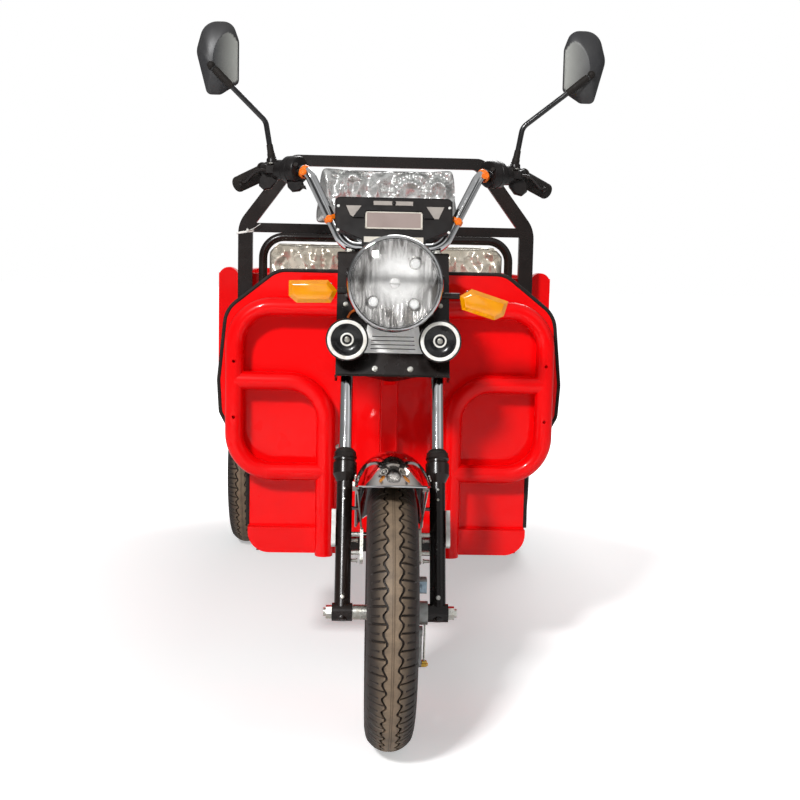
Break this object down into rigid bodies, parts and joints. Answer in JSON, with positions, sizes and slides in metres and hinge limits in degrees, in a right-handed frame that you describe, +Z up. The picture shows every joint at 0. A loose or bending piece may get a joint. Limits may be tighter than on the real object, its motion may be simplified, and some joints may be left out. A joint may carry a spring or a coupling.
{
  "type": "electric cargo tricycle",
  "caption": "Open cargo tricycle with a handlebar-steered front wheel, leg shields with tubular guards, a padded hoop behind the driver, a cargo box with a tailgate and a driven rear axle.",
  "frame": {"origin": "middle of the vehicle's bounding box, on the ground", "axes": "the vehicle faces -Y, +X is its left side, +Z is up"},
  "size_m": [0.91, 2.571, 1.383],
  "materials": {
    "red_paint": "gloss",
    "black_paint": "satin",
    "black_plastic": "matte",
    "gloss_black_plastic": "gloss",
    "chrome": "polished",
    "bright_steel": "satin",
    "dark_steel": "rough",
    "wheel_paint": "gloss",
    "tyre_rubber": "matte",
    "grip_rubber": "matte",
    "amber_lens": "gloss",
    "red_lens": "gloss",
    "lamp_glass": "clear",
    "mirror_glass": "polished",
    "seat_vinyl": "satin",
    "film": "gloss",
    "reflector": "gloss",
    "battery_case": "matte"
  },
  "bodies": {
    "chassis": {"head_frame": "red_paint", "floor_frame": "black_paint", "cargo_frame": "black_paint", "leg_shield_left": "red_paint", "leg_shield_right": "red_paint", "centre_panel": "red_paint", "guard_left": "red_paint", "guard_right": "red_paint", "footboard": "black_paint", "seat_box": "red_paint", "battery_pack": "battery_case", "hoop_frame": "black_paint", "backrest_frame": "black_paint", "lower_backrest": "film", "upper_backrest": "film", "cargo_floor": "red_paint", "cargo_side_left": "red_paint", "cargo_side_right": "red_paint", "cargo_front_panel": "red_paint", "rear_axle": "dark_steel", "leaf_springs": "dark_steel", "tail_lamps": "red_lens", "brake_pedal": "black_paint"},
    "steering": {"steering_stem": "black_paint", "bar_risers": "black_paint", "fork_tubes": "chrome", "fork_sliders": "black_paint", "front_axle": "bright_steel", "front_brake_plate": "dark_steel", "front_mudguard": "chrome", "mudguard_stays": "bright_steel", "fork_reflectors": "reflector", "handlebar": "chrome", "grips": "grip_rubber", "hand_control_left": "black_plastic", "hand_control_right": "black_plastic", "mirror_left": "black_plastic", "mirror_right": "black_plastic", "mirror_glasses": "mirror_glass", "headlamp_cowl": "black_plastic", "headlamp_bucket": "gloss_black_plastic", "headlamp_bezel": "chrome", "headlamp_lens": "lamp_glass", "horns": "gloss_black_plastic", "grille": "chrome", "indicator_lenses": "amber_lens", "instrument_panel": "black_plastic"},
    "front_wheel": {"tyre_front": "tyre_rubber", "rim_front": "wheel_paint"},
    "rear_wheel_left": {"tyre_rear_left": "tyre_rubber", "rim_rear_left": "wheel_paint"},
    "rear_wheel_right": {"tyre_rear_right": "tyre_rubber", "rim_rear_right": "wheel_paint"},
    "tailgate": {"tailgate": "red_paint"},
    "seat": {"seat_base": "black_plastic", "seat_cushion": "seat_vinyl"}
  },
  "joints": [
    {"name": "steering_turn", "type": "hinge", "parent": "chassis", "child": "steering", "pos_m": [0, -0.75035, 0.77982], "axis": [0, 0.4067, 0.9135], "range_deg": [-35, 35]},
    {"name": "front_wheel_spin", "type": "hinge", "parent": "steering", "child": "front_wheel", "pos_m": [0, -1.0355, 0.25], "axis": [1, 0, 0], "continuous": true},
    {"name": "rear_wheel_left_spin", "type": "hinge", "parent": "chassis", "child": "rear_wheel_left", "pos_m": [0.41, 0.6545, 0.25], "axis": [1, 0, 0], "continuous": true},
    {"name": "rear_wheel_right_spin", "type": "hinge", "parent": "chassis", "child": "rear_wheel_right", "pos_m": [-0.41, 0.6545, 0.25], "axis": [1, 0, 0], "continuous": true},
    {"name": "tailgate_swing", "type": "hinge", "parent": "chassis", "child": "tailgate", "pos_m": [0, 1.2725, 0.566], "axis": [-1, 0, 0], "range_deg": [0, 170]},
    {"name": "seat_lid", "type": "hinge", "parent": "chassis", "child": "seat", "pos_m": [0, -0.3745, 0.585], "axis": [1, 0, 0], "range_deg": [0, 65]}
  ]
}
